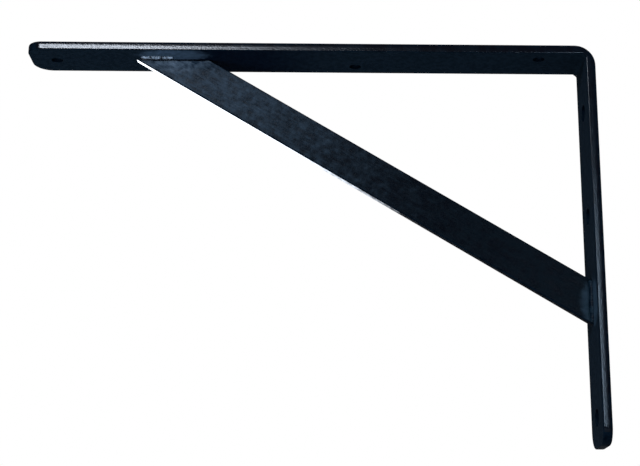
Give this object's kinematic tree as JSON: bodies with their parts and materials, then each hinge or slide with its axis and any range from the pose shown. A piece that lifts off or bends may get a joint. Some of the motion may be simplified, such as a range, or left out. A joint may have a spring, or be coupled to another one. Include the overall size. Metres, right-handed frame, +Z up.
{
  "type": "braced shelf bracket",
  "caption": "Right-angle shelf bracket bent from flat steel bar, with a welded diagonal brace and screw holes for the wall and the shelf.",
  "frame": {"origin": "centre of the top wall screw hole, on the face that bears on the wall", "axes": "+X into the wall, square to the face that bears on it; +Z up, square to the face that the shelf rests on, which is 33 mm above the origin; +Y to the left as one faces the wall. The shelf arm runs out from the wall along -X."},
  "size_m": [0.3, 0.03, 0.21],
  "materials": {
    "powder_coat": "fine-textured semi-matt black powder coat with a blue cast",
    "coated_weld": "the same black powder coat over a slightly lumpy weld bead"
  },
  "bodies": {
    "root": {"angle_bar": "powder_coat", "brace": "powder_coat", "upper_weld_left": "coated_weld", "upper_weld_right": "coated_weld", "lower_weld_left": "coated_weld", "lower_weld_right": "coated_weld"}
  },
  "joints": []
}
